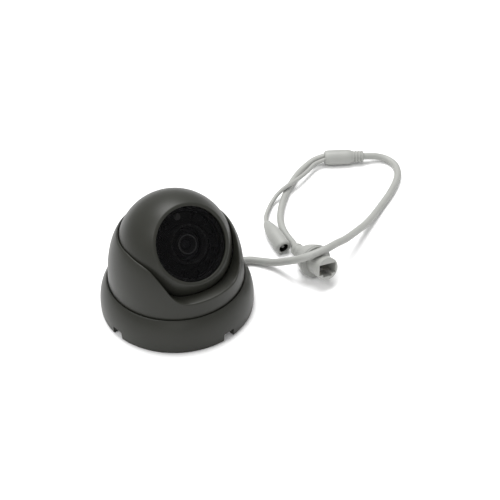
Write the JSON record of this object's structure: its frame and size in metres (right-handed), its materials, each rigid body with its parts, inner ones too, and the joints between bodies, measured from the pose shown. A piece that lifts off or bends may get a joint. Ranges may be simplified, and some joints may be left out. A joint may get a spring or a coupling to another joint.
{
  "type": "dome cctv camera",
  "caption": "Turret-style dome security camera: ball with dark window in a scooped turret on a round trim ring, with a fly lead split to network and power sockets.",
  "frame": {"origin": "centre of the mounting face, at the bottom of the trim ring", "axes": "+Z out of the mounting face, the lens looks towards -Y and +Z, +X is the side the lead leaves from"},
  "size_m": [0.2483, 0.1183, 0.077],
  "materials": {
    "shell_paint": "satin paint",
    "diecast": "satin",
    "steel": "satin",
    "brass": "satin",
    "black_rubber": "matte",
    "dark_window": "polished",
    "lens_glass": "polished",
    "black_plastic": "matte",
    "black_gloss": "gloss",
    "board_green": "satin",
    "board_black": "satin",
    "led_clear": "gloss",
    "chip_black": "matte",
    "white_acetal": "satin",
    "lens_ring_grey": "satin",
    "lead_jacket": "satin",
    "socket_plastic": "satin",
    "bell_plastic": "satin",
    "contact_gold": "polished",
    "pin_chrome": "polished",
    "seal_grey": "matte"
  },
  "bodies": {
    "base": {"base_gasket": "black_rubber", "base_plate": "diecast", "base_grommet": "black_rubber", "trim_ring": "shell_paint", "slip_ring": "white_acetal", "lead": "lead_jacket", "splitter": "lead_jacket", "net_tail": "lead_jacket", "net_relief": "bell_plastic", "net_bell": "bell_plastic", "net_seal": "seal_grey", "net_socket": "socket_plastic", "net_contacts": "contact_gold", "dc_tail": "lead_jacket", "dc_body": "lead_jacket", "dc_liner_sleeve": "black_gloss", "dc_pin": "pin_chrome"},
    "turret": {"turret_shell": "shell_paint", "ball_seat": "diecast", "seat_screws": "steel", "friction_pad": "black_rubber"},
    "tilt_yoke": {"inner_boot": "black_rubber", "inner_lead": "lead_jacket"},
    "ball": {"ball_front": "shell_paint", "ball_rear": "shell_paint", "ball_seal": "black_rubber", "ball_screws": "steel", "window": "dark_window", "window_seal": "black_rubber", "lens_hood": "black_plastic", "led_mask": "black_plastic", "led_board": "board_black", "leds": "led_clear", "light_sensor": "led_clear", "chassis": "diecast", "chassis_screws": "steel", "led_posts": "brass", "lens_ring": "lens_ring_grey", "lens_glass": "lens_glass", "lens_barrel": "black_plastic", "lens_holder": "black_plastic", "ircut_unit": "black_plastic", "image_sensor": "chip_black", "sensor_board": "board_green", "sensor_posts": "brass", "main_board": "board_green", "board_parts": "chip_black", "rear_posts": "brass", "board_screws": "steel", "gland_body": "black_plastic", "gland_nut": "black_plastic", "gland_lead": "lead_jacket"}
  },
  "joints": [
    {"name": "pan", "type": "hinge", "parent": "base", "child": "turret", "pos_m": [0, 0, 0.04325], "axis": [0, 0, 1], "range_deg": [-180, 180]},
    {"name": "tilt", "type": "hinge", "parent": "turret", "child": "tilt_yoke", "pos_m": [0, 0, 0.04325], "axis": [1, 0, 0], "range_deg": [-54.4, 20.6]},
    {"name": "roll", "type": "hinge", "parent": "tilt_yoke", "child": "ball", "pos_m": [0, 0, 0.04325], "axis": [0, -0.8131, 0.5821], "range_deg": [-180, 180]}
  ]
}
